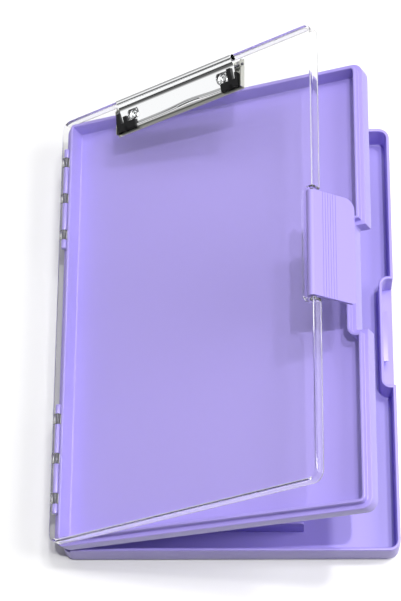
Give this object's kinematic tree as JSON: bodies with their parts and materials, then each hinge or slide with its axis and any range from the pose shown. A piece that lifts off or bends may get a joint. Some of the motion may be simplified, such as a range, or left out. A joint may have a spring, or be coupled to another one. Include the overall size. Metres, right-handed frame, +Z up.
{
  "type": "storage clipboard box",
  "caption": "Deep purple storage box with a pen compartment, a shallow tray leaf and a clear clipboard cover hinged on one spine, with a swing latch and a sprung metal clip.",
  "frame": {"origin": "centre of the underside of the base, on the table", "axes": "+Y along the box towards the clip end, +Z up, +X from the hinge spine to the latch side"},
  "size_m": [0.2502, 0.335, 0.1926],
  "materials": {
    "purple_plastic": "translucent tinted styrene, smooth",
    "clear_plastic": "clear moulded styrene, polished",
    "pin_steel": "drawn wire",
    "clip_chrome": "bright plated sheet",
    "black_rubber": "moulded, satin"
  },
  "bodies": {
    "base": {"base_shell": "purple_plastic", "tray_hinge_pin_front": "pin_steel", "tray_hinge_pin_back": "pin_steel"},
    "tray": {"tray_shell": "purple_plastic", "cover_hinge_pin_front": "pin_steel", "cover_hinge_pin_back": "pin_steel"},
    "cover": {"cover_shell": "clear_plastic", "latch_pin": "pin_steel", "clip_base_plate": "clip_chrome", "clip_rod": "pin_steel", "clip_spring_left": "pin_steel", "clip_spring_right": "pin_steel", "clip_rivet_left": "clip_chrome", "clip_rivet_right": "clip_chrome", "clip_washer_left": "clip_chrome", "clip_washer_right": "clip_chrome"},
    "latch": {"latch_flap": "purple_plastic"},
    "lever": {"clip_lever": "clip_chrome", "clip_grip_left": "black_rubber", "clip_grip_right": "black_rubber"}
  },
  "joints": [
    {"name": "tray_hinge", "type": "hinge", "parent": "base", "child": "tray", "pos_m": [-0.1182, 0, 0.0252], "axis": [0, -1, 0], "range_deg": [-23.5, 66.5]},
    {"name": "cover_hinge", "type": "hinge", "parent": "tray", "child": "cover", "pos_m": [-0.12438, 0, 0.03865], "axis": [0, -1, 0], "range_deg": [-15.5, 74.5]},
    {"name": "latch_hinge", "type": "hinge", "parent": "cover", "child": "latch", "pos_m": [0.05769, 0, 0.18724], "axis": [0, -1, 0], "range_deg": [-17, 83]},
    {"name": "clip_hinge", "type": "hinge", "parent": "cover", "child": "lever", "pos_m": [-0.03694, 0.153, 0.11898], "axis": [-0.7771, 0, -0.6293], "range_deg": [0, 22], "stiffness_Nm_per_rad": 0.15, "springref_deg": -85.94, "deforming": ["clip_spring_left", "clip_spring_right"]}
  ]
}
